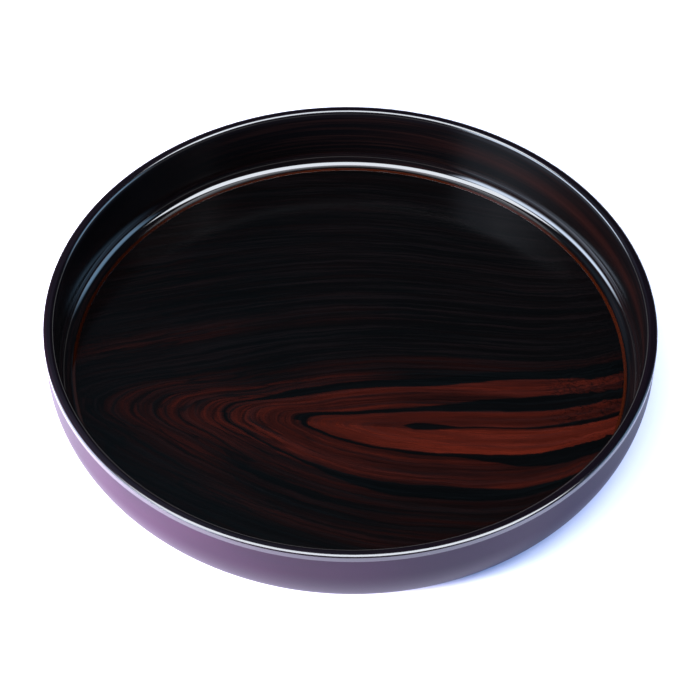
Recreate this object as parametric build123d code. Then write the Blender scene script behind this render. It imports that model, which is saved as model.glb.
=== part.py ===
from build123d import *
import math
import os

# A round serving tray of lacquered wood: a flat veneered floor, a hollow cove all round it, and an
# upright wall that curves in under the tray. Millimetres, +Z up. The origin is on the table, under
# the middle of the tray. Every piece is turned, so each one is a section in the half plane
# X = radius, Z = height, revolved about Z.

# Driving dimensions
OUTER_DIAMETER = 300.0
TOTAL_HEIGHT = 44.0
WALL_THICKNESS = 5.4  # at the rim, from the lining's face to the outer face
FLOOR_HEIGHT = 8.9  # top of the floor veneer
UNDERSIDE_HEIGHT = 2.0  # the board's underside, which the foot ring lifts off the table
COVE_RADIUS = 6.1
LINE_WIDTH = 1.6  # the inlaid line between the floor veneer and the cove

# The outer face is upright above CURVE_START and an arc below it.
CURVE_START = 28.6
CURVE_RADIUS = 38.7

# Sheet pieces
FLOOR_VENEER = 0.8
LINING_VENEER = 0.6
BACKING_VENEER = 0.6

# Rim ring, with a tongue that drops into a groove along the top of the wall
RIM_HEIGHT = 3.6
RIM_INNER_ROUND = 2.3
RIM_SLOPE_ROUND = 3.2  # the top falls away to the outer edge on this radius
RIM_SLOPE_LEAN = 38.0  # degrees from level, where that slope meets the edge's own small round
RIM_OUTER_ROUND = 0.6
TONGUE_WIDTH = 1.6
TONGUE_DEPTH = 1.5

# Lap joint between the heel ring and the wall hoop
LAP_BOTTOM = 19.0
LAP_TOP = 22.0
LAP_RADIUS = 147.3

# Seat that the cove ring is bedded on: a cone cut into the heel ring
SEAT_TOP = 13.2
SEAT_BOTTOM_RADIUS = 142.0

# Rabbet round the board's edge, which the heel ring stands in
RABBET_RADIUS = 138.5
RABBET_HEIGHT = 5.2
BOARD_EDGE_ROUND = 0.8

# Foot ring, let into the underside of the board
FOOT_INNER_RADIUS = 122.0
FOOT_OUTER_RADIUS = 129.0
FOOT_GROOVE_DEPTH = 1.0
FOOT_EDGE_ROUND = 0.7

# Worked out from the driving dimensions
outer_radius = OUTER_DIAMETER / 2
inner_radius = outer_radius - WALL_THICKNESS
hoop_inner_radius = inner_radius + LINING_VENEER
line_outer_radius = inner_radius - COVE_RADIUS
line_inner_radius = line_outer_radius - LINE_WIDTH
board_top = FLOOR_HEIGHT - FLOOR_VENEER
cove_top = FLOOR_HEIGHT + COVE_RADIUS
wall_top = TOTAL_HEIGHT - RIM_HEIGHT
tongue_middle = (hoop_inner_radius + outer_radius) / 2
tongue_inner = tongue_middle - TONGUE_WIDTH / 2
tongue_outer = tongue_middle + TONGUE_WIDTH / 2
tongue_bottom = wall_top - TONGUE_DEPTH
groove_top = UNDERSIDE_HEIGHT + FOOT_GROOVE_DEPTH
quarter = math.sqrt(0.5)  # sine and cosine of half a right angle, for the middle of a quarter arc


def point(radius, height):
    """A point of a section."""
    return (radius, 0, height)


def outer_face_radius(height):
    """Radius of the tray's outer face at a height on its curved part."""
    drop = CURVE_START - height
    return outer_radius - CURVE_RADIUS + math.sqrt(CURVE_RADIUS**2 - drop**2)


def outer_arc(low, high):
    """The outer face's curve between two heights."""
    middle = (low + high) / 2
    return ThreePointArc(
        point(outer_face_radius(low), low),
        point(outer_face_radius(middle), middle),
        point(outer_face_radius(high), high),
    )


def quarter_arc(start, end, centre, radius):
    """A quarter of a circle from start to end, through the point halfway between them."""
    out_r = math.copysign(quarter * radius, start[0] + end[0] - 2 * centre[0])
    out_z = math.copysign(quarter * radius, start[1] + end[1] - 2 * centre[1])
    middle = point(centre[0] + out_r, centre[1] + out_z)
    return ThreePointArc(point(*start), middle, point(*end))


def leaning_arc(centre, radius, start, end):
    """An arc about a centre between two leans, in degrees outwards from straight up."""
    leans = [math.radians(lean) for lean in (start, (start + end) / 2, end)]
    return ThreePointArc(
        *[point(centre[0] + radius * math.sin(lean), centre[1] + radius * math.cos(lean)) for lean in leans]
    )


def corner_path(*corners):
    """Straight lines through corners, each given as (radius, height)."""
    return Polyline(*[point(*corner) for corner in corners])


def turned(*edges):
    """The solid that a closed section makes when it is revolved about the tray's axis."""
    outline = Curve()
    for edge in edges:
        outline += edge
    return revolve(make_face(outline), axis=Axis.Z)


def disc(radius, low, high):
    """A flat round sheet between two heights."""
    return Pos(0, 0, low) * Cylinder(radius, high - low, align=(Align.CENTER, Align.CENTER, Align.MIN))


def flat_ring(inner, outer, low, high):
    """A ring of rectangular section."""
    return turned(corner_path((inner, low), (outer, low), (outer, high), (inner, high), (inner, low)))


def base_board():
    """The board: its edge carries on the outer curve, and its underside takes the veneer and the foot ring."""
    veneer_seat = UNDERSIDE_HEIGHT + BACKING_VENEER
    rabbet_outer = outer_face_radius(RABBET_HEIGHT)
    edge_bottom = outer_face_radius(UNDERSIDE_HEIGHT)
    section = make_face(
        corner_path(
            (edge_bottom, UNDERSIDE_HEIGHT),
            (FOOT_OUTER_RADIUS, UNDERSIDE_HEIGHT),
            (FOOT_OUTER_RADIUS, groove_top),
            (FOOT_INNER_RADIUS, groove_top),
            (FOOT_INNER_RADIUS, veneer_seat),
            (0, veneer_seat),
            (0, board_top),
            (RABBET_RADIUS, board_top),
            (RABBET_RADIUS, RABBET_HEIGHT),
            (rabbet_outer, RABBET_HEIGHT),
        )
        + outer_arc(UNDERSIDE_HEIGHT, RABBET_HEIGHT)
    )
    lower_corner = section.vertices().sort_by_distance(point(edge_bottom, UNDERSIDE_HEIGHT))[0]
    return revolve(fillet(lower_corner, BOARD_EDGE_ROUND), axis=Axis.Z)


def backing_veneer():
    """The balancing veneer, let in flush with the underside, inside the foot ring."""
    return disc(FOOT_INNER_RADIUS, UNDERSIDE_HEIGHT, UNDERSIDE_HEIGHT + BACKING_VENEER)


def foot_ring():
    """The low ring that the tray stands on, with its two lower edges rounded."""
    ring = flat_ring(FOOT_INNER_RADIUS, FOOT_OUTER_RADIUS, 0, groove_top)
    lower_edges = ring.edges().group_by(Axis.Z)[0]
    return fillet(lower_edges, FOOT_EDGE_ROUND)


def heel_ring():
    """The curved lower part of the wall. It stands in the board's rabbet, and its top is half of the lap."""
    return turned(
        corner_path(
            (outer_face_radius(RABBET_HEIGHT), RABBET_HEIGHT),
            (RABBET_RADIUS, RABBET_HEIGHT),
            (RABBET_RADIUS, board_top),
            (SEAT_BOTTOM_RADIUS, board_top),
            (hoop_inner_radius, SEAT_TOP),
            (hoop_inner_radius, LAP_TOP),
            (LAP_RADIUS, LAP_TOP),
            (LAP_RADIUS, LAP_BOTTOM),
            (outer_face_radius(LAP_BOTTOM), LAP_BOTTOM),
        ),
        outer_arc(RABBET_HEIGHT, LAP_BOTTOM),
    )


def wall_hoop():
    """The upright part of the wall, with the other half of the lap and the groove for the rim's tongue."""
    return turned(
        corner_path(
            (outer_face_radius(LAP_BOTTOM), LAP_BOTTOM),
            (LAP_RADIUS, LAP_BOTTOM),
            (LAP_RADIUS, LAP_TOP),
            (hoop_inner_radius, LAP_TOP),
            (hoop_inner_radius, wall_top),
            (tongue_inner, wall_top),
            (tongue_inner, tongue_bottom),
            (tongue_outer, tongue_bottom),
            (tongue_outer, wall_top),
            (outer_radius, wall_top),
            (outer_radius, CURVE_START),
        ),
        outer_arc(LAP_BOTTOM, CURVE_START),
    )


def rim_ring():
    """The ring that caps the wall and covers the top edge of the lining, with rounded edges."""
    inner_start = TOTAL_HEIGHT - RIM_INNER_ROUND
    crown_inner = inner_radius + RIM_INNER_ROUND
    slope_lean = math.radians(RIM_SLOPE_LEAN)
    slope_height = TOTAL_HEIGHT - RIM_SLOPE_ROUND
    edge_height = slope_height + (RIM_SLOPE_ROUND - RIM_OUTER_ROUND) * math.cos(slope_lean)
    edge_radius = outer_radius - RIM_OUTER_ROUND
    crown_outer = edge_radius - (RIM_SLOPE_ROUND - RIM_OUTER_ROUND) * math.sin(slope_lean)
    return turned(
        corner_path(
            (outer_radius, edge_height),
            (outer_radius, wall_top),
            (tongue_outer, wall_top),
            (tongue_outer, tongue_bottom),
            (tongue_inner, tongue_bottom),
            (tongue_inner, wall_top),
            (inner_radius, wall_top),
            (inner_radius, inner_start),
        ),
        quarter_arc(
            (inner_radius, inner_start),
            (crown_inner, TOTAL_HEIGHT),
            (crown_inner, inner_start),
            RIM_INNER_ROUND,
        ),
        corner_path((crown_inner, TOTAL_HEIGHT), (crown_outer, TOTAL_HEIGHT)),
        leaning_arc((crown_outer, slope_height), RIM_SLOPE_ROUND, 0, RIM_SLOPE_LEAN),
        leaning_arc((edge_radius, edge_height), RIM_OUTER_ROUND, RIM_SLOPE_LEAN, 90),
    )


def wall_lining():
    """The veneer strip bent round the inside of the wall, from the cove up to the rim."""
    return flat_ring(inner_radius, hoop_inner_radius, cove_top, wall_top)


def cove_ring():
    """The hollow moulding in the corner. Its face is a quarter circle, and its back fits the seat."""
    return turned(
        corner_path(
            (inner_radius, cove_top),
            (hoop_inner_radius, cove_top),
            (hoop_inner_radius, SEAT_TOP),
            (SEAT_BOTTOM_RADIUS, board_top),
            (line_outer_radius, board_top),
            (line_outer_radius, FLOOR_HEIGHT),
        ),
        quarter_arc(
            (line_outer_radius, FLOOR_HEIGHT),
            (inner_radius, cove_top),
            (line_outer_radius, cove_top),
            COVE_RADIUS,
        ),
    )


def floor_veneer():
    """The figured sheet that things are served on."""
    return disc(line_inner_radius, board_top, FLOOR_HEIGHT)


def inlay_line():
    """The thin line of lighter wood round the floor."""
    return flat_ring(line_inner_radius, line_outer_radius, board_top, FLOOR_HEIGHT)


pieces = [
    base_board,
    backing_veneer,
    foot_ring,
    heel_ring,
    wall_hoop,
    rim_ring,
    wall_lining,
    cove_ring,
    floor_veneer,
    inlay_line,
]

os.makedirs("parts", exist_ok=True)
for piece in pieces:
    export_step(piece(), f"parts/{piece.__name__}.step")
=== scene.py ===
# %% [markdown]
# # A round lacquered serving tray
# The tray is ten turned and veneered pieces under clear, deep lacquer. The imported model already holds
# every piece at its true size. This lesson gives each piece a finely turned surface and its finish:
# an ebony floor with a flame figure, an amber line, a black hollow, plum lacquer outside.

# %% Load the frame
import math

import bpy
import numpy as np
from mathutils import Matrix, Vector


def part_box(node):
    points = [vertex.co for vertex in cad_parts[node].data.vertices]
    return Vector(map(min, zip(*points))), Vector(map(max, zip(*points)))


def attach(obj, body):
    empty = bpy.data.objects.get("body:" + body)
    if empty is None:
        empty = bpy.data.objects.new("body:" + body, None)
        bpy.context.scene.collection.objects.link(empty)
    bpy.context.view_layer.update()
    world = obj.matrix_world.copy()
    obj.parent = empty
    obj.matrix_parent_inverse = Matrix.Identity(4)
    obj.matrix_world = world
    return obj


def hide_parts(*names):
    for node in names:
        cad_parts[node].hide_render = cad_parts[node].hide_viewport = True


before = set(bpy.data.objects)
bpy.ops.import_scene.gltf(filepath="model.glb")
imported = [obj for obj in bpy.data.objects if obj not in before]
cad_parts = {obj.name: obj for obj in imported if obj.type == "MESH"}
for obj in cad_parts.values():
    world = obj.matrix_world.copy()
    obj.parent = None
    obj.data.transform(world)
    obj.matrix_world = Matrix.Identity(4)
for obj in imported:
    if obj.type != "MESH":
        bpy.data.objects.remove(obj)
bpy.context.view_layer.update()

# %% [markdown]
# ## Sizes
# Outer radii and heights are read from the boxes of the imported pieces. A box says nothing about a hole
# or a groove, so the few sizes inside a piece are named here, in millimetres, as the maker sets them.

# %% Sizes from the frame and the maker's own
MM = 0.001
outer_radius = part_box("rim_ring")[1].x
rim_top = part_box("rim_ring")[1].z
tongue_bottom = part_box("rim_ring")[0].z
lining_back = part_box("wall_lining")[1].x
wall_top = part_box("wall_lining")[1].z
cove_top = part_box("wall_lining")[0].z
floor_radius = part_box("floor_veneer")[1].x
floor_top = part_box("floor_veneer")[1].z
board_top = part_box("floor_veneer")[0].z
line_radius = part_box("inlay_line")[1].x
lap_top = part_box("heel_ring")[1].z
rabbet_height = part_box("heel_ring")[0].z
lap_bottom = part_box("wall_hoop")[0].z
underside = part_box("backing_veneer")[0].z
backing_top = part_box("backing_veneer")[1].z
foot_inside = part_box("backing_veneer")[1].x
foot_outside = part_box("foot_ring")[1].x
foot_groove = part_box("foot_ring")[1].z

wall_inside = lining_back - 0.6 * MM
curve_start = 28.6 * MM
curve_radius = 38.7 * MM
lap_radius = 147.3 * MM
seat_top = 13.2 * MM
seat_bottom = 142.0 * MM
rabbet_radius = 138.5 * MM
tongue_half = 0.8 * MM
print("outer radius", round(outer_radius, 5), "inside radius", round(wall_inside, 5))

# %% [markdown]
# ## From a section to a turned piece
# A turner cuts a section, and the lathe carries it round. The mesh is made the same way: a closed
# outline in the plane of radius and height, then every outline point goes round a circle. Real edges
# are never knife sharp, so corners that show can first become small arcs. A sharp corner catches no
# light; an eased one draws the thin bright lines that make lacquer look like lacquer. Corners that
# are hidden in a joint stay sharp, so that the pieces meet.

# %% Ease the corners of an outline
def unit(arrows):
    """Each arrow divided by its own length."""
    return arrows / np.linalg.norm(arrows, axis=-1, keepdims=True)


def eased(outline, softness, steps=7, guard=0.12 * MM):
    """A closed outline with an arc at each corner whose softness, the arc's radius, isn't zero.

    The arc's middle lies on the corner's bisector, at radius / sin(half the angle). It starts and ends
    at radius / tan(half the angle) from the corner, and its points are spread evenly by turning the
    start arrow into the end arrow. Two guard points just past its ends keep the flats flat.
    """
    outline = np.asarray(outline, float)
    softness = np.asarray(softness, float)[:, None]
    to_last = unit(np.roll(outline, 1, axis=0) - outline)
    to_next = unit(np.roll(outline, -1, axis=0) - outline)
    half = 0.5 * np.arccos(np.clip((to_last * to_next).sum(1, keepdims=True), -1, 1))
    reach = softness / np.tan(half)
    middle = outline + unit(to_last + to_next + 1e-12) * softness / np.sin(half)
    start = outline + to_last * reach - middle
    end = outline + to_next * reach - middle
    sweep = np.pi - 2 * half[:, None]
    share = np.linspace(0, 1, steps)[None, :, None]
    turn = np.sin((1 - share) * sweep) * start[:, None] + np.sin(share * sweep) * end[:, None]
    arcs = middle[:, None] + turn / np.sin(sweep)
    before = (outline + to_last * (reach + guard))[:, None]
    after = (outline + to_next * (reach + guard))[:, None]
    points = np.concatenate([before, arcs, after], axis=1)
    sharp = softness[:, 0] == 0
    points[sharp, 0] = outline[sharp]
    keep = np.ones(points.shape[:2], bool)
    keep[sharp, 1:] = False
    return points[keep]


# %% Carry an outline round the axis
around = 384


def turned(name, outline, finish):
    """A ring: each outline point goes round the axis.

    The point (radius, height), at turn a, lies at (radius cos a, radius sin a, height).
    """
    radius, height = outline[:, 0], outline[:, 1]
    turn = np.linspace(0, 2 * np.pi, around, endpoint=False)[:, None]
    places = np.stack(
        [radius * np.cos(turn), radius * np.sin(turn), height + 0 * turn], axis=-1
    ).reshape(-1, 3)
    count = len(outline)
    ring, step = np.meshgrid(np.arange(around), np.arange(count), indexing="ij")
    ring_next, step_next = (ring + 1) % around, (step + 1) % count
    faces = np.stack(
        [
            ring * count + step,
            ring_next * count + step,
            ring_next * count + step_next,
            ring * count + step_next,
        ],
        axis=-1,
    ).reshape(-1, 4)
    return settled(name, places, faces, finish)


def turned_disc(name, outline, finish):
    """A disc: the outline runs from the axis on top, round the edge, back to the axis underneath.

    Its two ends are poles, so each end is one point with a fan of triangles, and the rest is a grid.
    """
    inner = outline[1:-1]
    turn = np.linspace(0, 2 * np.pi, around, endpoint=False)[:, None]
    grid = np.stack(
        [inner[:, 0] * np.cos(turn), inner[:, 0] * np.sin(turn), inner[:, 1] + 0 * turn], axis=-1
    ).reshape(-1, 3)
    poles = np.array([[0, 0, outline[0, 1]], [0, 0, outline[-1, 1]]])
    count = len(inner)
    ring, step = np.meshgrid(np.arange(around), np.arange(count - 1), indexing="ij")
    ring_next = (ring + 1) % around
    faces = np.stack(
        [
            ring * count + step,
            ring * count + step + 1,
            ring_next * count + step + 1,
            ring_next * count + step,
        ],
        axis=-1,
    ).reshape(-1, 4)
    one = np.arange(around)
    two = (one + 1) % around
    top_pole, bottom_pole = around * count, around * count + 1
    top_fan = np.stack([one * count, two * count, one * 0 + top_pole], axis=-1)
    last = count - 1
    bottom_fan = np.stack([two * count + last, one * count + last, one * 0 + bottom_pole], axis=-1)
    fans = np.concatenate([top_fan, bottom_fan])
    return settled(name, np.concatenate([grid, poles]), faces, finish, fans)


def settled(name, places, quads, finish, triangles=None):
    """Puts arrays of points and faces into a mesh, smooths it, and gives it its finish."""
    corners = quads.ravel()
    starts = np.arange(len(quads)) * 4
    if triangles is not None:
        starts = np.concatenate([starts, len(corners) + np.arange(len(triangles)) * 3])
        corners = np.concatenate([corners, triangles.ravel()])
    mesh = bpy.data.meshes.new(name)
    mesh.vertices.add(len(places))
    mesh.vertices.foreach_set("co", places.ravel())
    mesh.loops.add(len(corners))
    mesh.loops.foreach_set("vertex_index", corners.astype(np.int32))
    mesh.polygons.add(len(starts))
    mesh.polygons.foreach_set("loop_start", starts.astype(np.int32))
    mesh.update(calc_edges=True)
    mesh.validate()
    mesh.shade_smooth()
    mesh.set_sharp_from_angle(angle=math.radians(50))
    mesh.materials.append(finish)
    piece = bpy.data.objects.new(name, mesh)
    bpy.context.scene.collection.objects.link(piece)
    print(name, len(places), "points,", len(starts), "faces")
    return piece


def placed(piece, node):
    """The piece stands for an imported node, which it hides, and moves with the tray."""
    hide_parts(node)
    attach(piece, "root")


# %% [markdown]
# ## Small helpers for finishes
# A finish is a tree of nodes. A few helpers keep the trees short to write. One adds a node and plugs in
# its values, one does sums, and one draws a soft step from 0 to 1. The rest put those together for
# noise, for mixing, and for the clear lacquer that most finishes end with.

# %% Node helpers
def plug(tree, socket, value):
    """Joins a socket to another socket, or sets it to a plain value."""
    if isinstance(value, bpy.types.NodeSocket):
        tree.links.new(value, socket)
    else:
        socket.default_value = value


def add(tree, kind, sockets, **settings):
    """Adds a node of a kind, with its settings and its sockets by name or number."""
    made = tree.nodes.new(kind)
    for name, value in settings.items():
        setattr(made, name, value)
    for key, value in sockets.items():
        plug(tree, made.inputs[key], value)
    return made


def sum_of(tree, operation, *values):
    """One sum: ADD, MULTIPLY, POWER and so on."""
    sockets = dict(enumerate(values))
    return add(tree, "ShaderNodeMath", sockets, operation=operation).outputs[0]


def step_up(tree, value, low, high):
    """Rises smoothly from 0 where value is low to 1 where it is high."""
    sockets = {"Value": value, "From Min": low, "From Max": high}
    return add(tree, "ShaderNodeMapRange", sockets, interpolation_type="SMOOTHSTEP").outputs[0]


def stretched(tree, x, y, z):
    """A vector from three sums, for noise that is long one way and fine another."""
    return add(tree, "ShaderNodeCombineXYZ", {0: x, 1: y, 2: z}).outputs[0]


def noise(tree, vector, scale, detail=3.0, roughness=0.5, distortion=0.0):
    """Smooth noise between 0 and 1, around 0.5."""
    sockets = {
        "Vector": vector,
        "Scale": scale,
        "Detail": detail,
        "Roughness": roughness,
        "Distortion": distortion,
    }
    return add(tree, "ShaderNodeTexNoise", sockets).outputs["Fac"]


def drawn_out(tree, one, two, three, along, across, detail=4.0, roughness=0.6):
    """Noise that is long along the first two numbers and fine across the third."""
    first = sum_of(tree, "MULTIPLY", one, along)
    second = sum_of(tree, "MULTIPLY", two, along)
    third = sum_of(tree, "MULTIPLY", three, across)
    return noise(tree, stretched(tree, first, second, third), 1.0, detail, roughness)


def product(tree, *values):
    """All the values multiplied together."""
    total = values[0]
    for value in values[1:]:
        total = sum_of(tree, "MULTIPLY", total, value)
    return total


def less(tree, value):
    """1 minus the value."""
    return sum_of(tree, "SUBTRACT", 1.0, value)


def blended(tree, share, one, two):
    """Colour one where share is 0, colour two where it is 1."""
    mix = add(tree, "ShaderNodeMix", {0: share}, data_type="RGBA")
    plug(tree, mix.inputs[6], one)
    plug(tree, mix.inputs[7], two)
    return mix.outputs[2]


def chosen(tree, share, one, two):
    """Number one where share is 0, number two where it is 1."""
    return add(tree, "ShaderNodeMix", {0: share, 2: one, 3: two}, data_type="FLOAT").outputs[0]


def band(tree, value, start, end, edge):
    """1 between start and end, with soft edges, and 0 outside."""
    begin_low = sum_of(tree, "SUBTRACT", start, edge)
    begin_high = sum_of(tree, "ADD", start, edge)
    end_low = sum_of(tree, "SUBTRACT", end, edge)
    end_high = sum_of(tree, "ADD", end, edge)
    inside = step_up(tree, value, begin_low, begin_high)
    outside = step_up(tree, value, end_low, end_high)
    return sum_of(tree, "MULTIPLY", inside, less(tree, outside))


def dimmed(tree, colour, share):
    """The colour times a number."""
    return add(tree, "ShaderNodeVectorMath", {0: colour, 3: share}, operation="SCALE").outputs[0]


def begin(name):
    """A new finish: its tree, its shader, and its object coordinates in millimetres."""
    finish = bpy.data.materials.new(name)
    finish.use_nodes = True
    tree = finish.node_tree
    tree.nodes.clear()
    shader = tree.nodes.new("ShaderNodeBsdfPrincipled")
    output = tree.nodes.new("ShaderNodeOutputMaterial")
    tree.links.new(shader.outputs[0], output.inputs[0])
    place = tree.nodes.new("ShaderNodeTexCoord").outputs["Object"]
    split = add(tree, "ShaderNodeSeparateXYZ", {0: place})
    x, y, z = (sum_of(tree, "MULTIPLY", axis, 1 / MM) for axis in split.outputs)
    return finish, tree, shader, (x, y, z)


def round_the_tray(tree, x, y):
    """Distance from the axis, and the two parts of the direction, which have no seam as an angle would."""
    squares = sum_of(tree, "ADD", sum_of(tree, "POWER", x, 2.0), sum_of(tree, "POWER", y, 2.0))
    radius = sum_of(tree, "SQRT", squares)
    away = sum_of(tree, "MAXIMUM", radius, 1.0)
    return radius, sum_of(tree, "DIVIDE", x, away), sum_of(tree, "DIVIDE", y, away)


def lacquered(tree, shader, colour, roughness, relief, depth, coat=1.0, coat_roughness=0.04):
    """Plugs colour, roughness and relief into the shader, under a clear coat with the same relief."""
    bump = add(tree, "ShaderNodeBump", {"Strength": 1.0, "Distance": depth, "Height": relief})
    plug(tree, shader.inputs["Base Color"], colour)
    plug(tree, shader.inputs["Roughness"], roughness)
    plug(tree, shader.inputs["Normal"], bump.outputs[0])
    plug(tree, shader.inputs["Coat Normal"], bump.outputs[0])
    shader.inputs["Specular IOR Level"].default_value = 0.0
    shader.inputs["Coat Weight"].default_value = coat
    shader.inputs["Coat Roughness"].default_value = coat_roughness
    shader.inputs["Coat IOR"].default_value = 1.6


# %% [markdown]
# ## The floor's figure
# Ebony is cut so that its growth rings meet the face at a slant. Near the heart of the log the rings
# show as long tongues, one inside another, that makers call a flame. Each ring is a level line of one
# number: how far a point of the face is from the heart. The heart dives under the face towards the
# left, so its depth there grows, and the tongues close. Across the grain the distance grows with the
# distance from the heart line. The two are put together as a sum of powers. Bands of black and
# red-brown are then painted by that one number, so that they follow the tongues by themselves.

# %% Ring distance from the heart
HEART_SLOPE = 0.24  # millimetres that the heart drops for each millimetre to the left
HEART_RISE = 12.5  # where along the face the heart comes up
HEART_SOFTNESS = 8.7  # how gently the heart comes up, in millimetres
HEART_LINE = -45.9  # how far in front of the middle the flame's centre line runs
BEND_START = 80.0  # to the right of this the heart line bends away
BEND = 0.0039
FAR_SCALE = 0.6  # how fast the ring number grows across the grain, behind the heart line
FAR_CHANGE = -0.126
NEAR_SCALE = 0.5  # and in front of it
NEAR_CHANGE = 0.435
FAR_TIP = 0.60  # part of the depth over which the tongues' tips are rounded
NEAR_TIP = 0.35
FAR_POWER = 1.05
NEAR_POWER = 1.36
BOW = 0.152


def ring_distance(tree, x, y):
    """Ring number at a point of the face, its place across the heart line, and 1 on the line's far side.

    Heart depth = half of (slope times the way to the left, plus the root of that squared and a
    softness squared). Ring number = (depth ^ p + across ^ p) ^ (1 / p), with p near 1 behind the
    heart line and larger in front of it. Close to the line, across fades out as 1 - e ^ -(across /
    part of the depth) ^ 2, which rounds the tongues' tips, the deeper the rounder.
    """
    drop = sum_of(tree, "MULTIPLY", sum_of(tree, "SUBTRACT", HEART_RISE, x), HEART_SLOPE)
    bowed = sum_of(tree, "SQRT", sum_of(tree, "MULTIPLY_ADD", drop, drop, HEART_SOFTNESS**2))
    depth = sum_of(tree, "MULTIPLY", sum_of(tree, "ADD", drop, bowed), 0.5)
    past = sum_of(tree, "MAXIMUM", sum_of(tree, "SUBTRACT", x, BEND_START), 0.0)
    bend = sum_of(tree, "MULTIPLY", sum_of(tree, "MULTIPLY", past, past), BEND)
    line = sum_of(tree, "ADD", sum_of(tree, "MULTIPLY_ADD", depth, 0.5, HEART_LINE), bend)
    across = sum_of(tree, "SUBTRACT", y, line)
    behind = sum_of(tree, "GREATER_THAN", across, 0.0)
    middle = sum_of(tree, "MULTIPLY", sum_of(tree, "SUBTRACT", x, 40.0), 0.01)
    far_scale = sum_of(tree, "MULTIPLY_ADD", product(tree, middle, middle), FAR_CHANGE, FAR_SCALE)
    right = sum_of(tree, "MAXIMUM", sum_of(tree, "MULTIPLY_ADD", x, 0.0125, -0.75), 0.0)
    near_scale = sum_of(tree, "MULTIPLY_ADD", product(tree, right, right), NEAR_CHANGE, NEAR_SCALE)
    scale = chosen(tree, behind, near_scale, far_scale)
    width = sum_of(tree, "MULTIPLY", sum_of(tree, "ABSOLUTE", across), scale)
    tip = sum_of(tree, "DIVIDE", across, product(tree, depth, chosen(tree, behind, NEAR_TIP, FAR_TIP)))
    round_tip = less(tree, sum_of(tree, "EXPONENT", product(tree, tip, tip, -1.0)))
    width = sum_of(tree, "MULTIPLY", width, round_tip)
    off_middle = sum_of(tree, "MULTIPLY_ADD", x, 0.01, -0.1)
    bow = sum_of(tree, "MULTIPLY", product(tree, off_middle, off_middle), BOW)
    bow = sum_of(tree, "MULTIPLY", bow, sum_of(tree, "MAXIMUM", across, 0.0))
    width = sum_of(tree, "ADD", width, bow)
    power = chosen(tree, behind, NEAR_POWER, FAR_POWER)
    powers = sum_of(tree, "ADD", sum_of(tree, "POWER", width, power), sum_of(tree, "POWER", depth, power))
    rings = sum_of(tree, "POWER", powers, sum_of(tree, "DIVIDE", 1.0, power))
    return rings, across, behind


# %% [markdown]
# ## Painting the floor
# All the reds of this ebony are one red, more or less of it over black. So the finish first works out
# one number, the redness, and turns it into a colour at the end. Ring by ring outwards the redness
# passes through stages: the glowing tongue at the heart, duller tongues round it, dim brown, and near
# black. Each stage has three levels, for the left, the middle and the right of the face. Over the
# stages lie the black bands that outline the tongues, each thin at its tip and wider to the right.
# Fine streaks come from noise that is long along the rings and very short across them.

# %% Stages of redness
RED = (1.0, 0.105, 0.036)
EBONY = (0.00044, 0.00060, 0.00070)


def in_stages(tree, x, rings, redness, stages):
    """Redness that changes at each stage's first ring, over its width in rings, to its three levels."""
    to_middle = step_up(tree, x, -88.0, -38.0)
    to_right = step_up(tree, x, -5.0, 35.0)
    for first, width, left, middle, right in stages:
        level = chosen(tree, to_right, chosen(tree, to_middle, left, middle), right)
        reached = step_up(tree, rings, first, sum_of(tree, "ADD", first, width))
        redness = chosen(tree, reached, redness, level)
    return redness


def front_redness(tree, x, rings):
    """Redness on the viewer's side of the heart line."""
    stages = [
        (2.0, 3.0, 0.0220, 0.0220, 0.0215),
        (8.6, 0.6, 0.0088, 0.0088, 0.0048),
        (11.5, 2.0, 0.0062, 0.0062, 0.0028),
        (14.2, 2.4, 0.0085, 0.0088, 0.0056),
        (18.6, 1.8, 0.0092, 0.0020, 0.0014),
        (21.5, 2.5, 0.0050, 0.0022, 0.0008),
        (24.3, 1.0, 0.0036, 0.0019, 0.0012),
        (25.8, 0.8, 0.0042, 0.0002, 0.0009),
        (28.0, 1.0, 0.0048, 0.0014, 0.0016),
        (29.9, 0.9, 0.0028, 0.0002, 0.0007),
        (31.8, 1.2, 0.0015, 0.0010, 0.0014),
        (34.6, 1.4, 0.0008, 0.0020, 0.0019),
        (38.0, 1.4, 0.0004, 0.0005, 0.0008),
    ]
    return in_stages(tree, x, rings, 0.0150, stages)


def back_redness(tree, x, rings, second_start):
    """Redness on the far side of the heart line."""
    stages = [
        (8.6, 0.6, 0.0078, 0.0080, 0.0060),
        (12.0, 1.5, 0.0072, 0.0072, 0.0042),
        (15.4, 2.0, 0.0080, 0.0085, 0.0086),
        (second_start, 0.6, 0.0062, 0.0042, 0.0004),
        (24.0, 2.0, 0.0038, 0.0011, 0.0011),
        (29.6, 2.0, 0.0022, 0.0003, 0.0002),
        (32.2, 1.6, 0.0005, 0.0002, 0.0002),
        (44.0, 2.5, 0.0022, 0.0006, 0.0002),
        (50.5, 2.5, 0.0005, 0.0003, 0.0002),
    ]
    return in_stages(tree, x, rings, 0.0088, stages)


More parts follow.
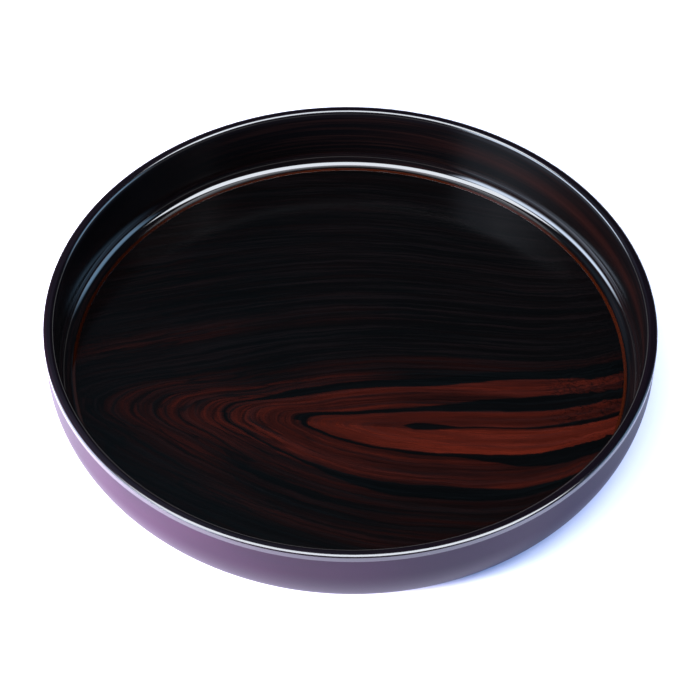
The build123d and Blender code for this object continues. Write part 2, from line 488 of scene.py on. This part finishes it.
# %% Black bands of the ebony
def black_bands(tree, x, rings, behind, second_start):
    """How black each point is, from 0 to 1: bands between two ring numbers, wider to the right."""
    in_front = less(tree, behind)
    heart_far = sum_of(tree, "MULTIPLY_ADD", step_up(tree, x, 25.0, 98.0), 5.4, 10.3)
    heart_far = sum_of(tree, "MULTIPLY_ADD", step_up(tree, x, 106.0, 126.0), -2.4, heart_far)
    heart_near = sum_of(tree, "MULTIPLY_ADD", step_up(tree, x, 50.0, 112.0), 4.8, 9.6)
    heart_start = sum_of(tree, "MULTIPLY_ADD", step_up(tree, x, 15.0, 70.0), -0.7, 8.9)
    second_far = sum_of(tree, "MULTIPLY_ADD", step_up(tree, x, -54.0, -28.0), 2.2, 19.2)
    second_far = sum_of(tree, "MULTIPLY_ADD", step_up(tree, x, 25.0, 92.0), 5.2, second_far)
    second_near = sum_of(tree, "MULTIPLY_ADD", step_up(tree, x, -35.0, 25.0), 3.4, 19.1)
    near_start = sum_of(tree, "MULTIPLY_ADD", step_up(tree, x, 50.0, 95.0), 1.2, 18.3)
    bands = [
        (behind, 8.8, heart_far, 0.30),
        (in_front, heart_start, heart_near, 0.20),
        (behind, second_start, second_far, 0.35),
        (in_front, near_start, second_near, 0.35),
    ]
    black = 0.0
    for side, start, end, edge in bands:
        part = sum_of(tree, "MULTIPLY", band(tree, rings, start, end, edge), side)
        black = sum_of(tree, "MAXIMUM", black, part)
    return black


def black_core(tree, x, across):
    """The dark wedge inside the glowing tongue: blunt at its left end, thin in its middle."""
    opens = product(tree, step_up(tree, x, 25.0, 33.0), 2.2)
    thins = product(tree, step_up(tree, x, 38.0, 56.0), -1.5)
    grows = product(tree, step_up(tree, x, 85.0, 120.0), 0.8)
    width = sum_of(tree, "ADD", opens, sum_of(tree, "ADD", thins, grows))
    offset = sum_of(tree, "ABSOLUTE", sum_of(tree, "SUBTRACT", across, 1.6))
    return step_up(tree, sum_of(tree, "SUBTRACT", width, offset), -0.35, 0.6)


# %% Cracks across the bands' ends
def cracked_ends(tree, x, y, rings, behind):
    """Thin dark branching lines: where a wandering noise passes through its middle value."""
    wander = noise(tree, stretched(tree, product(tree, x, 0.11), product(tree, y, 0.16), 4.0), 1.0, 5.0, 0.7)
    off = sum_of(tree, "ABSOLUTE", sum_of(tree, "SUBTRACT", wander, 0.5))
    crack = less(tree, step_up(tree, off, 0.004, 0.022))
    zone = product(tree, step_up(tree, x, 92.0, 108.0), less(tree, step_up(tree, rings, 24.0, 28.0)))
    return product(tree, crack, zone, behind)


# %% Rings that sway and fray
def frayed_rings(tree, x, y):
    """Ring number with the wood's unevenness: a slow sway, a ragged right end, feathered edges."""
    broad = noise(tree, stretched(tree, product(tree, x, 0.012), product(tree, y, 0.03), 3.0), 1.0, 2.0)
    small = noise(tree, stretched(tree, product(tree, x, 0.05), product(tree, y, 0.16), 7.0), 1.0, 3.0)
    swayed = sum_of(tree, "MULTIPLY_ADD", sum_of(tree, "SUBTRACT", broad, 0.5), 2.0, y)
    swayed = sum_of(tree, "MULTIPLY_ADD", sum_of(tree, "SUBTRACT", small, 0.5), 2.2, swayed)
    rings, across, behind = ring_distance(tree, x, swayed)

    ragged = noise(tree, stretched(tree, product(tree, x, 0.13), product(tree, y, 0.25), 1.0), 1.0, 4.0, 0.65)
    ragged = sum_of(tree, "SUBTRACT", ragged, 0.5)
    rings = sum_of(tree, "ADD", rings, product(tree, ragged, step_up(tree, x, 88.0, 122.0), 4.0))
    feather = sum_of(tree, "SUBTRACT", drawn_out(tree, x, y, rings, 0.02, 0.9, 4.0, 0.6), 0.5)
    rings = sum_of(tree, "MULTIPLY_ADD", feather, 1.2, rings)
    at_tip = less(tree, step_up(tree, x, -14.0, 8.0))
    longer = product(tree, at_tip, less(tree, step_up(tree, rings, 11.0, 16.0)))
    rings = sum_of(tree, "MULTIPLY_ADD", longer, -0.9, rings)
    return rings, across, behind


# %% Streaks, clouds and swirls along the rings
def streaked(tree, x, y, rings, redness, fine):
    """Redness made uneven: fine streaks, slow clouds, and thin dark swirls on the left."""
    wide = drawn_out(tree, x, y, rings, 0.012, 0.30, 3.0, 0.5)
    outside = step_up(tree, rings, 8.0, 9.5)
    streak = sum_of(tree, "MULTIPLY_ADD", step_up(tree, fine, 0.30, 0.70), 1.5, 0.25)
    mild = sum_of(tree, "MULTIPLY_ADD", step_up(tree, fine, 0.30, 0.70), 0.40, 0.80)
    cloud = sum_of(tree, "MULTIPLY_ADD", step_up(tree, wide, 0.32, 0.68), 0.7, 0.65)
    redness = product(tree, redness, chosen(tree, outside, mild, streak), cloud)

    swirl = drawn_out(tree, x, y, rings, 0.018, 0.42, 2.0, 0.5)
    swirl = sum_of(tree, "ABSOLUTE", sum_of(tree, "SUBTRACT", swirl, 0.5))
    on_left = less(tree, step_up(tree, x, -45.0, 0.0))
    swirl = product(tree, less(tree, step_up(tree, swirl, 0.008, 0.045)), on_left)
    return product(tree, redness, sum_of(tree, "MULTIPLY_ADD", product(tree, swirl, outside), -0.7, 1.0))


# %% The floor's finish
def stage_colours(tree, x, rings, behind, second_start):
    """Redness of the stages on both sides of the heart line, with a glow in the first tongue's tip."""
    front = front_redness(tree, x, rings)
    back = back_redness(tree, x, rings, second_start)
    redness = chosen(tree, behind, front, back)
    inner = less(tree, step_up(tree, rings, 8.2, 9.0))
    tip = product(tree, less(tree, step_up(tree, x, -8.0, 24.0)), inner)
    return chosen(tree, product(tree, tip, 0.7), redness, 0.0150)


def figured_floor():
    """Black and red-brown ebony with a flame figure, under polished clear lacquer."""
    finish, tree, shader, (x, y, _) = begin("figured_ebony_floor")
    rings, across, behind = frayed_rings(tree, x, y)
    second_start = sum_of(tree, "MULTIPLY_ADD", step_up(tree, x, 28.0, 92.0), 4.3, 18.5)
    second_start = sum_of(tree, "MULTIPLY_ADD", step_up(tree, x, 106.0, 124.0), -2.6, second_start)
    redness = stage_colours(tree, x, rings, behind, second_start)
    fine = drawn_out(tree, x, y, rings, 0.011, 1.1, 6.0, 0.70)
    redness = streaked(tree, x, y, rings, redness, fine)

    black = black_bands(tree, x, rings, behind, second_start)
    black = sum_of(tree, "MAXIMUM", black, black_core(tree, x, across))
    black = sum_of(tree, "MAXIMUM", black, cracked_ends(tree, x, y, rings, behind))
    redness = product(tree, redness, less(tree, product(tree, black, 0.98)))

    pores = drawn_out(tree, x, y, rings, 0.10, 5.0, 3.0)
    redness = product(tree, redness, sum_of(tree, "MULTIPLY_ADD", step_up(tree, pores, 0.3, 0.7), 0.4, 0.80))
    threads = drawn_out(tree, x, y, rings, 0.009, 1.0, 7.0, 0.75)
    thread = sum_of(tree, "MULTIPLY_ADD", step_up(tree, threads, 0.42, 0.66), 1.0, 0.6)
    far = product(tree, behind, step_up(tree, rings, 26.0, 34.0))
    far_threads = product(tree, far, step_up(tree, threads, 0.48, 0.64))
    threaded = sum_of(tree, "MULTIPLY_ADD", far_threads, 0.0006, redness)
    sockets = {0: RED, 1: stretched(tree, threaded, threaded, threaded), 2: dimmed(tree, EBONY, thread)}
    colour = add(tree, "ShaderNodeVectorMath", sockets, operation="MULTIPLY_ADD").outputs[0]
    rough = sum_of(tree, "MULTIPLY_ADD", fine, 0.2, 0.3)
    lacquered(tree, shader, colour, rough, pores, 0.000002, coat=0.4, coat_roughness=0.16)
    return finish


# %% [markdown]
# ## The floor veneer
# The veneer is a thin sheet. Its face is one flat disc, so the mesh needs only a few rings of points;
# the figure is all in the finish. The edge is eased so little that the amber line meets it flush.

# %% Floor veneer
def sheet_outline(radius, low, high, rings=12, ease=0.04 * MM):
    """Outline of a disc, from the axis on top, over an eased edge, to the axis underneath."""
    edge = eased(
        [(0, high), (radius, high), (radius, low), (0, low)], [0, ease, ease, 0], steps=4
    )
    spokes = np.linspace(0, radius * 0.98, rings)[1:]
    top = np.stack([spokes, spokes * 0 + high], axis=-1)
    bottom = np.stack([spokes[::-1], spokes * 0 + low], axis=-1)
    return np.concatenate([edge[:1], top, edge[1:-1], bottom, edge[-1:]])


floor_finish = figured_floor()
floor = turned_disc("floor_sheet", sheet_outline(floor_radius, board_top, floor_top), floor_finish)
placed(floor, "floor_veneer")

# %% [markdown]
# ## The amber line
# A strip of lighter wood is bent into the groove between floor and hollow. It is the one warm line in
# the dark tray. Its colour wanders a little round the tray, as the strip's own grain does, and painted
# shade darkens it round its left side.

# %% Inlaid line
def amber_line():
    """Orange-brown strip, grained along its length, with painted shade that darkens it round its left side.
    """
    finish, tree, shader, (x, y, _) = begin("amber_line")
    radius, way_x, way_y = round_the_tray(tree, x, y)
    long_grain = drawn_out(tree, way_x, way_y, radius, 2.2, 3.3, 4.0, 0.6)
    share = step_up(tree, long_grain, 0.35, 0.65)
    colour = blended(tree, share, (0.0095, 0.0016, 0.0006, 1), (0.0190, 0.0030, 0.0006, 1))
    # painted shade: the strip's colour is scaled from 0.4 on its left side up to 1 elsewhere
    painted_left_shade = sum_of(tree, "MULTIPLY_ADD", step_up(tree, way_x, -0.98, -0.55), 0.6, 0.4)
    lacquered(tree, shader, dimmed(tree, colour, painted_left_shade), 0.35, long_grain, 0.000002, coat_roughness=0.05)
    return finish


def ring_outline(inner, outer, low, high, ease=0.04 * MM):
    """Outline of a ring of rectangular section, running anticlockwise."""
    corners = [(inner, low), (outer, low), (outer, high), (inner, high)]
    return eased(corners, [ease] * 4, steps=4, guard=0.03 * MM)


line = turned("amber_strip", ring_outline(floor_radius, line_radius, board_top, floor_top), amber_line())
placed(line, "inlay_line")

# %% [markdown]
# ## The hollow
# Between floor and wall runs a cove, a quarter of a circle in section, stained black and polished.
# Whatever angle one looks from, some part of the curve throws the light back, so it
# shows as a bright hoop. It needs a fine arc in the mesh, or that hoop would break into facets.

# %% Cove ring
def black_hollow():
    """Black stain with a trace of red, grained round the tray."""
    finish, tree, shader, (x, y, z) = begin("black_hollow")
    _, way_x, way_y = round_the_tray(tree, x, y)
    stain = (0.0007, 0.0007, 0.0009, 1)
    trace_of_red = (0.0030, 0.0014, 0.0014, 1)
    long_grain = noise(tree, stretched(tree, way_x, way_y, product(tree, z, 0.7)), 3.0, 5.0, 0.6)
    colour = blended(tree, step_up(tree, long_grain, 0.4, 0.7), stain, trace_of_red)
    lacquered(tree, shader, colour, 0.3, long_grain, 0.000004, coat_roughness=0.06)
    return finish


def arc_points(centre, radius, start, end, steps):
    """Points of an arc: centre + radius times (cos a, sin a), with a running from start to end."""
    turn = np.linspace(start, end, steps)
    return np.stack([centre[0] + radius * np.cos(turn), centre[1] + radius * np.sin(turn)], axis=-1)


cove_radius = wall_inside - line_radius
cove_face = arc_points((line_radius, cove_top), cove_radius, 0, -np.pi / 2, 33)
cove_back = np.array(
    [
        (line_radius, board_top),
        (seat_bottom, board_top),
        (lining_back, seat_top),
        (lining_back, cove_top),
    ]
)
cove = turned("cove_moulding", np.concatenate([cove_face, cove_back]), black_hollow())
placed(cove, "cove_ring")

# %% [markdown]
# ## The lining
# A strip of veneer is bent round the inside of the wall, so its grain runs round the tray. It is
# almost black, with faint red-brown streaks, and one warmer streak at half height on the right.

# %% Wall lining
def bent_veneer():
    """Near-black veneer with faint streaks that follow the wall round."""
    finish, tree, shader, (x, y, z) = begin("bent_veneer")
    _, way_x, way_y = round_the_tray(tree, x, y)
    near_black = (0.0004, 0.0004, 0.0005, 1)
    brown_black = (0.0022, 0.0010, 0.0009, 1)
    warm_streak = (0.0048, 0.0013, 0.0010, 1)
    streaks = noise(tree, stretched(tree, way_x, way_y, product(tree, z, 0.55)), 1.6, 6.0, 0.62, 0.2)
    threads = drawn_out(tree, way_x, way_y, z, 4.0, 4.0, 3.0, 0.6)
    colour = blended(tree, step_up(tree, streaks, 0.45, 0.72), near_black, brown_black)
    warm = sum_of(tree, "MULTIPLY", band(tree, z, 26.0, 32.0, 4.0), step_up(tree, way_x, -0.1, 0.8))
    warm = sum_of(tree, "MULTIPLY", warm, sum_of(tree, "MULTIPLY_ADD", threads, 0.8, 0.1))
    colour = blended(tree, warm, colour, warm_streak)
    rough = sum_of(tree, "MULTIPLY_ADD", threads, 0.2, 0.25)
    lacquered(tree, shader, colour, rough, threads, 0.000004, coat=0.6, coat_roughness=0.15)
    return finish


lining_outline = ring_outline(wall_inside, lining_back, cove_top, wall_top, ease=0)
lining = turned("bent_lining", lining_outline, bent_veneer())
placed(lining, "wall_lining")

# %% [markdown]
# ## Plum lacquer
# Outside, the tray wears a translucent red-brown lacquer over black. Where it lies thick it looks like
# plum, and where it thins it turns warmer. Brush strokes run round the wall. The hoop and the heel
# ring share one finish, so the wall reads as one turned surface, and the board's edge takes its
# deep plum.

# %% Plum lacquer for the outer wall
PLUM = (0.0066, 0.0020, 0.0072, 1)
DEEP_PLUM = (0.0034, 0.0014, 0.0046, 1)
WARM_EDGE = (0.0110, 0.0026, 0.0052, 1)


def plum_wall():
    """Plum lacquer with faint strokes round the wall and a slow change of depth."""
    finish, tree, shader, (x, y, z) = begin("plum_wall_lacquer")
    _, way_x, way_y = round_the_tray(tree, x, y)
    slow = noise(tree, stretched(tree, way_x, way_y, sum_of(tree, "MULTIPLY", z, 0.02)), 1.3, 2.0)
    strokes = drawn_out(tree, way_x, way_y, z, 3.0, 2.6, 5.0, 0.6)
    colour = blended(tree, step_up(tree, slow, 0.3, 0.7), DEEP_PLUM, PLUM)
    worn_strokes = product(tree, step_up(tree, strokes, 0.4, 0.75), 0.35)
    colour = blended(tree, worn_strokes, colour, WARM_EDGE)
    rough = sum_of(tree, "MULTIPLY_ADD", strokes, 0.15, 0.35)
    lacquered(tree, shader, colour, rough, strokes, 0.000003, coat=0.28, coat_roughness=0.12)
    return finish


wall_finish = plum_wall()

# %% [markdown]
# ## The hoop and the heel
# The wall is two rings. The hoop stands upright and carries the groove for the rim's tongue. The heel
# curves in under the tray. They meet in a lap, and outside they share one curve: an arc that starts
# upright. The arc is worked out as a formula, and both outlines take their own stretch of it.

# %% Wall hoop and heel ring
def outer_curve(low, high, steps):
    """The outer face between two heights: radius = arc's middle + root of (arc radius^2 - drop^2)."""
    height = np.linspace(low, high, steps)
    drop = np.maximum(curve_start - height, 0)
    radius = outer_radius - curve_radius + np.sqrt(curve_radius**2 - drop**2)
    return np.stack([radius, height], axis=-1)


tongue_middle = (lining_back + outer_radius) / 2
tongue_in, tongue_out = tongue_middle - tongue_half, tongue_middle + tongue_half

hoop_face = outer_curve(lap_bottom, wall_top, 26)
hoop_back = np.array(
    [
        (tongue_out, wall_top),
        (tongue_out, tongue_bottom),
        (tongue_in, tongue_bottom),
        (tongue_in, wall_top),
        (lining_back, wall_top),
        (lining_back, lap_top),
        (lap_radius, lap_top),
        (lap_radius, lap_bottom),
    ]
)
hoop = turned("upright_hoop", np.concatenate([hoop_face, hoop_back]), wall_finish)
placed(hoop, "wall_hoop")

heel_face = outer_curve(rabbet_height, lap_bottom, 26)
heel_back = np.array(
    [
        (lap_radius, lap_bottom),
        (lap_radius, lap_top),
        (lining_back, lap_top),
        (lining_back, seat_top),
        (seat_bottom, board_top),
        (rabbet_radius, board_top),
        (rabbet_radius, rabbet_height),
    ]
)
heel = turned("curved_heel", np.concatenate([heel_face, heel_back]), wall_finish)
placed(heel, "heel_ring")

# %% [markdown]
# ## The rim
# The rim ring caps the wall. Its top was finished with a brush while it turned, which left hair-fine
# lines round it. Its inner edge is one round. Outside, the top falls away in a broad slope to a small
# round. Each of them is an arc, and arcs are what draw the bright lines round the tray.

# %% Rim ring
def brushed_rim():
    """Dark plum with hair-fine turning lines, warmer where the rounded edges thin the lacquer."""
    finish, tree, shader, (x, y, z) = begin("brushed_rim_lacquer")
    radius, way_x, way_y = round_the_tray(tree, x, y)
    hair_dark = (0.0006, 0.0005, 0.0008, 1)
    hair_light = (0.0022, 0.0011, 0.0018, 1)
    inside_dark = (0.0008, 0.0007, 0.0009, 1)
    hairs = drawn_out(tree, way_x, way_y, radius, 5.0, 5.5, 4.0, 0.7)
    patches = noise(tree, stretched(tree, way_x, way_y, sum_of(tree, "MULTIPLY", radius, 0.3)), 3.0, 2.0)
    colour = blended(tree, step_up(tree, hairs, 0.38, 0.68), hair_dark, hair_light)
    colour = blended(tree, sum_of(tree, "MULTIPLY", patches, 0.12), colour, DEEP_PLUM)
    edge = less(tree, step_up(tree, z, rim_top / MM - 1.6, rim_top / MM - 0.2))
    colour = blended(tree, sum_of(tree, "MULTIPLY", edge, 0.35), colour, PLUM)
    inside = less(tree, step_up(tree, radius, wall_inside / MM + 0.5, wall_inside / MM + 1.8))
    colour = blended(tree, inside, colour, inside_dark)
    rough = sum_of(tree, "MULTIPLY_ADD", hairs, 0.25, 0.25)
    lacquered(tree, shader, colour, rough, hairs, 0.000008, coat_roughness=0.12)
    return finish


def leaning_points(centre, radius, start, end, steps):
    """Points of an arc between two leans from straight up: centre + radius times (sin lean, cos lean)."""
    lean = np.radians(np.linspace(start, end, steps))
    return np.stack([centre[0] + radius * np.sin(lean), centre[1] + radius * np.cos(lean)], axis=-1)


inner_round = 2.3 * MM
slope_round = 3.2 * MM
edge_round = 0.6 * MM
slope_lean = 38.0
slope_height = rim_top - slope_round
edge_height = slope_height + (slope_round - edge_round) * math.cos(math.radians(slope_lean))
edge_radius = outer_radius - edge_round
slope_radius = edge_radius - (slope_round - edge_round) * math.sin(math.radians(slope_lean))
inner_centre = (wall_inside + inner_round, rim_top - inner_round)

rim_outline = np.concatenate(
    [
        np.array(
            [
                (wall_inside, wall_top),
                (tongue_in, wall_top),
                (tongue_in, tongue_bottom),
                (tongue_out, tongue_bottom),
                (tongue_out, wall_top),
                (outer_radius, wall_top),
            ]
        ),
        leaning_points((edge_radius, edge_height), edge_round, 90, slope_lean, 9),
        leaning_points((slope_radius, slope_height), slope_round, slope_lean, 0, 15)[1:],
        leaning_points(inner_centre, inner_round, 0, -90, 25),
    ]
)
rim = turned("brushed_rim", rim_outline, brushed_rim())
placed(rim, "rim_ring")

# %% [markdown]
# ## The board, the backing and the foot
# Underneath, the lacquer is thinner and duller. The board's edge carries on the wall's curve in the
# wall's deep plum. The backing veneer lies in a shallow recess with plain straight grain, and the
# foot ring is rubbed a little paler where it slides on tables.

# %% Board
def satin_underside():
    """Dull dark lacquer with turning rings, for the board."""
    finish, tree, shader, (x, y, _) = begin("satin_underside")
    radius, way_x, way_y = round_the_tray(tree, x, y)
    dark_ring = (0.006, 0.0035, 0.0042, 1)
    light_ring = (0.016, 0.0075, 0.0085, 1)
    rings = drawn_out(tree, way_x, way_y, radius, 2.0, 0.9, 5.0, 0.6)
    dull = blended(tree, step_up(tree, rings, 0.35, 0.7), dark_ring, light_ring)
    colour = blended(tree, step_up(tree, radius, 137.5, 139.5), dull, DEEP_PLUM)
    rough = sum_of(tree, "MULTIPLY_ADD", rings, 0.2, 0.38)
    lacquered(tree, shader, colour, rough, rings, 0.000006, coat=0.8, coat_roughness=0.16)
    return finish


board_face = outer_curve(underside, rabbet_height, 9)
board_back = np.array(
    [
        (rabbet_radius, rabbet_height),
        (rabbet_radius, board_top),
        (0, board_top),
        (0, backing_top),
        (foot_inside, backing_top),
        (foot_inside, foot_groove),
        (foot_outside, foot_groove),
        (foot_outside, underside),
    ]
)
board_corners = np.concatenate([board_face, board_back])
board_ease = np.zeros(len(board_corners))
board_ease[0] = 0.5 * MM
board_outline = eased(board_corners, board_ease, steps=8, guard=0.05 * MM)
axis_top = int(np.argmax((board_outline[:, 0] == 0) & (board_outline[:, 1] == board_top)))
board_outline = np.roll(board_outline, -axis_top - 1, axis=0)
board_outline = np.flip(board_outline, axis=0)
board = turned_disc("turned_board", board_outline, satin_underside())
placed(board, "base_board")

# %% Backing veneer
def plain_backing():
    """Plain straight-grained veneer under thin satin lacquer."""
    finish, tree, shader, (x, y, _) = begin("plain_backing")
    dark_grain = (0.005, 0.0028, 0.0026, 1)
    light_grain = (0.019, 0.0080, 0.0062, 1)
    along_grain = stretched(tree, product(tree, x, 0.01), product(tree, y, 0.6), 0.0)
    grain = noise(tree, along_grain, 1.0, 6.0, 0.6, 0.3)
    colour = blended(tree, step_up(tree, grain, 0.35, 0.7), dark_grain, light_grain)
    rough = sum_of(tree, "MULTIPLY_ADD", grain, 0.2, 0.4)
    lacquered(tree, shader, colour, rough, grain, 0.00001, coat=0.6, coat_roughness=0.2)
    return finish


backing = turned_disc("backing_sheet", sheet_outline(foot_inside, underside, backing_top), plain_backing())
placed(backing, "backing_veneer")

# %% Foot ring
def rubbed_foot():
    """Satin lacquer, worn paler on the face that touches the table."""
    finish, tree, shader, (x, y, z) = begin("rubbed_foot")
    radius, way_x, way_y = round_the_tray(tree, x, y)
    whole = (0.009, 0.0045, 0.0055, 1)
    rubbed = (0.052, 0.026, 0.020, 1)
    wear = drawn_out(tree, way_x, way_y, radius, 6.0, 0.4, 5.0, 0.65)
    low = less(tree, step_up(tree, z, 0.0, 0.6))
    worn = sum_of(tree, "MULTIPLY", low, step_up(tree, wear, 0.4, 0.65))
    colour = blended(tree, worn, whole, rubbed)
    rough = sum_of(tree, "MULTIPLY_ADD", worn, 0.25, 0.4)
    lacquered(tree, shader, colour, rough, wear, 0.00001, coat=0.6, coat_roughness=0.2)
    return finish


foot_corners = [(foot_inside, 0), (foot_outside, 0), (foot_outside, foot_groove), (foot_inside, foot_groove)]
foot_ease = [0.7 * MM, 0.7 * MM, 0.04 * MM, 0.04 * MM]
foot = turned("rubbed_foot_ring", eased(foot_corners, foot_ease, steps=8), rubbed_foot())
placed(foot, "foot_ring")

# %% [markdown]
# ## The studio
# A pale floor, and a sky that is pale near the horizon and dark above, because a polished floor
# mirrors whatever stands behind it. Soft boxes are painted in the sky as on a wall: a wide one
# overhead, a bright one at the front left, a weaker blue one on the right, and a faint blue one
# behind. Two small lamps stand low beside the tray and leave no mirror image.

# %% Floor and sky
def pale_floor():
    """A matt near-white floor with a trace of unevenness."""
    finish, tree, shader, (x, y, _) = begin("pale_floor")
    wide_patches = stretched(tree, product(tree, x, 0.004), product(tree, y, 0.004), 0.0)
    uneven = noise(tree, wide_patches, 1.0, 3.0)
    colour = blended(tree, uneven, (0.43, 0.43, 0.49, 1), (0.45, 0.45, 0.51, 1))
    plug(tree, shader.inputs["Base Color"], colour)
    shader.inputs["Roughness"].default_value = 0.7
    shader.inputs["Specular IOR Level"].default_value = 0.2
    return finish


floor_reach = 9.0
floor_mesh = bpy.data.meshes.new("studio_floor")
floor_corners = np.array([(-1, -1, 0), (1, -1, 0), (1, 1, 0), (-1, 1, 0)], float) * floor_reach
floor_mesh.from_pydata(floor_corners.tolist(), [], [(0, 1, 2, 3)])
floor_mesh.materials.append(pale_floor())
studio_floor = bpy.data.objects.new("studio_floor", floor_mesh)
bpy.context.scene.collection.objects.link(studio_floor)

world = bpy.data.worlds.new("studio_sky")
bpy.context.scene.world = world
world.use_nodes = True
sky = world.node_tree
way = sky.nodes.new("ShaderNodeTexCoord").outputs["Generated"]
up = add(sky, "ShaderNodeSeparateXYZ", {0: way}).outputs[2]
SKY_PALE = (0.95, 0.95, 0.97, 1)
SKY_DARK = (0.014, 0.017, 0.020, 1)
sky_colour = blended(sky, step_up(sky, up, 0.10, 0.24), SKY_PALE, SKY_DARK)


# %% Soft boxes painted in the sky
def dot(tree, one, two):
    """How far arrow one goes along arrow two."""
    return add(tree, "ShaderNodeVectorMath", {0: one, 1: two}, operation="DOT_PRODUCT").outputs["Value"]


def hump(tree, value, edges):
    """Rises from the first edge to the second, stays at 1, and falls from the third to the fourth."""
    rise = step_up(tree, value, edges[0], edges[1])
    fall = step_up(tree, value, edges[2], edges[3])
    return sum_of(tree, "MULTIPLY", rise, less(tree, fall))


def soft_box(colour, ahead, side, upward, side_edges, up_edges, radiance, tint):
    """Adds a bright rectangle with soft edges to the sky's colour.

    The rectangle stands one unit along ahead. A direction meets its plane at (side / ahead,
    upward / ahead), and the two sets of edges say where on the plane it starts and ends.
    """
    forward = dot(sky, way, ahead)
    safe = sum_of(sky, "MAXIMUM", forward, 0.02)
    along_side = sum_of(sky, "DIVIDE", dot(sky, way, side), safe)
    along_up = sum_of(sky, "DIVIDE", dot(sky, way, upward), safe)
    mask = sum_of(sky, "MULTIPLY", hump(sky, along_side, side_edges), hump(sky, along_up, up_edges))
    mask = sum_of(sky, "MULTIPLY", mask, sum_of(sky, "GREATER_THAN", forward, 0.03))
    mask = sum_of(sky, "MULTIPLY", mask, radiance)
    sockets = {0: mask, 1: tint, 2: colour}
    return add(sky, "ShaderNodeVectorMath", sockets, operation="MULTIPLY_ADD").outputs[0]


def level(turn):
    """The level arrow at a turn in degrees from the viewer's side, clockwise as seen from above."""
    return (-math.sin(math.radians(turn)), -math.cos(math.radians(turn)), 0.0)


upright = (0.0, 0.0, 1.0)
sky_colour = soft_box(
    sky_colour, upright, (1, 0, 0), (0, 1, 0), (-0.92, -0.80, 0.78, 0.88), (-0.52, -0.42, 0.06, 0.16),
    15.0, (0.93, 0.98, 1.06)
)
sky_colour = soft_box(
    sky_colour, level(50), level(140), upright, (-0.22, -0.02, 1.2, 2.3), (0.15, 0.60, 0.84, 1.22),
    13.5, (0.80, 0.94, 1.16)
)
sky_colour = soft_box(
    sky_colour, level(-100), level(-10), upright, (-0.45, -0.15, 0.20, 0.50), (0.05, 0.25, 0.50, 0.85),
    3.6, (0.50, 0.86, 1.30)
)
sky_colour = soft_box(
    sky_colour, level(180), level(270), upright, (-2.0, -0.9, -0.18, 0.10), (0.90, 1.30, 2.0, 3.0),
    0.20, (0.42, 0.72, 1.0)
)
plug(sky, sky.nodes["Background"].inputs["Color"], sky_colour)
sky.nodes["Background"].inputs["Strength"].default_value = 1.0


# %% Two low lamps beside the tray
def near_lamp(name, place, towards, size, power, colour):
    """A square soft lamp at a place in metres, turned to face a point, that leaves no mirror image."""
    lamp = bpy.data.lights.new(name, "AREA")
    lamp.shape = "SQUARE"
    lamp.size = size
    lamp.energy = power
    lamp.color = colour
    holder = bpy.data.objects.new(name, lamp)
    holder.location = place
    holder.rotation_euler = (Vector(place) - Vector(towards)).to_track_quat("Z", "Y").to_euler()
    holder.visible_glossy = False
    bpy.context.scene.collection.objects.link(holder)
    print(name, power, "watts")


near_lamp("low_left", (-0.52, -0.30, 0.10), (-0.18, -0.10, 0.0), 0.16, 58.0, (1.04, 0.94, 1.04))
near_lamp("low_right", (0.50, -0.42, 0.10), (0.14, -0.12, 0.0), 0.16, 10.0, (0.30, 0.55, 1.20))

# %% [markdown]
# ## The camera
# The viewer looks down at a little under fifty degrees from a bit more than a metre away, through a
# long lens. The camera is turned about its own axis by less than a degree, as a hand-set one is.

# %% Camera
LENS = 118.18  # millimetres, on a sensor 36 mm wide
view_distance = 7.5 * outer_radius
view_height = math.radians(46.98)
extra_tilt = math.radians(0.969)
roll = math.radians(0.92)
look = view_height + extra_tilt
aim = Vector((0, 0, rim_top))
eye = aim + Vector((0, -math.cos(view_height), math.sin(view_height))) * view_distance
right = Vector((1, 0, 0))
above = Vector((0, math.sin(look), math.cos(look)))
back = Vector((0, -math.cos(look), math.sin(look)))
turned_frame = Matrix((right, above, back)).transposed() @ Matrix.Rotation(roll, 3, "Z")

camera = bpy.data.cameras.new("view")
camera.sensor_width = 36.0
camera.lens = LENS
camera_holder = bpy.data.objects.new("view", camera)
camera_holder.matrix_world = Matrix.Translation(eye) @ turned_frame.to_4x4()
bpy.context.scene.collection.objects.link(camera_holder)
bpy.context.scene.camera = camera_holder
bpy.context.scene.view_settings.view_transform = "Standard"
print("camera", round(view_distance, 3), "m from the rim's middle, lens", LENS, "mm")
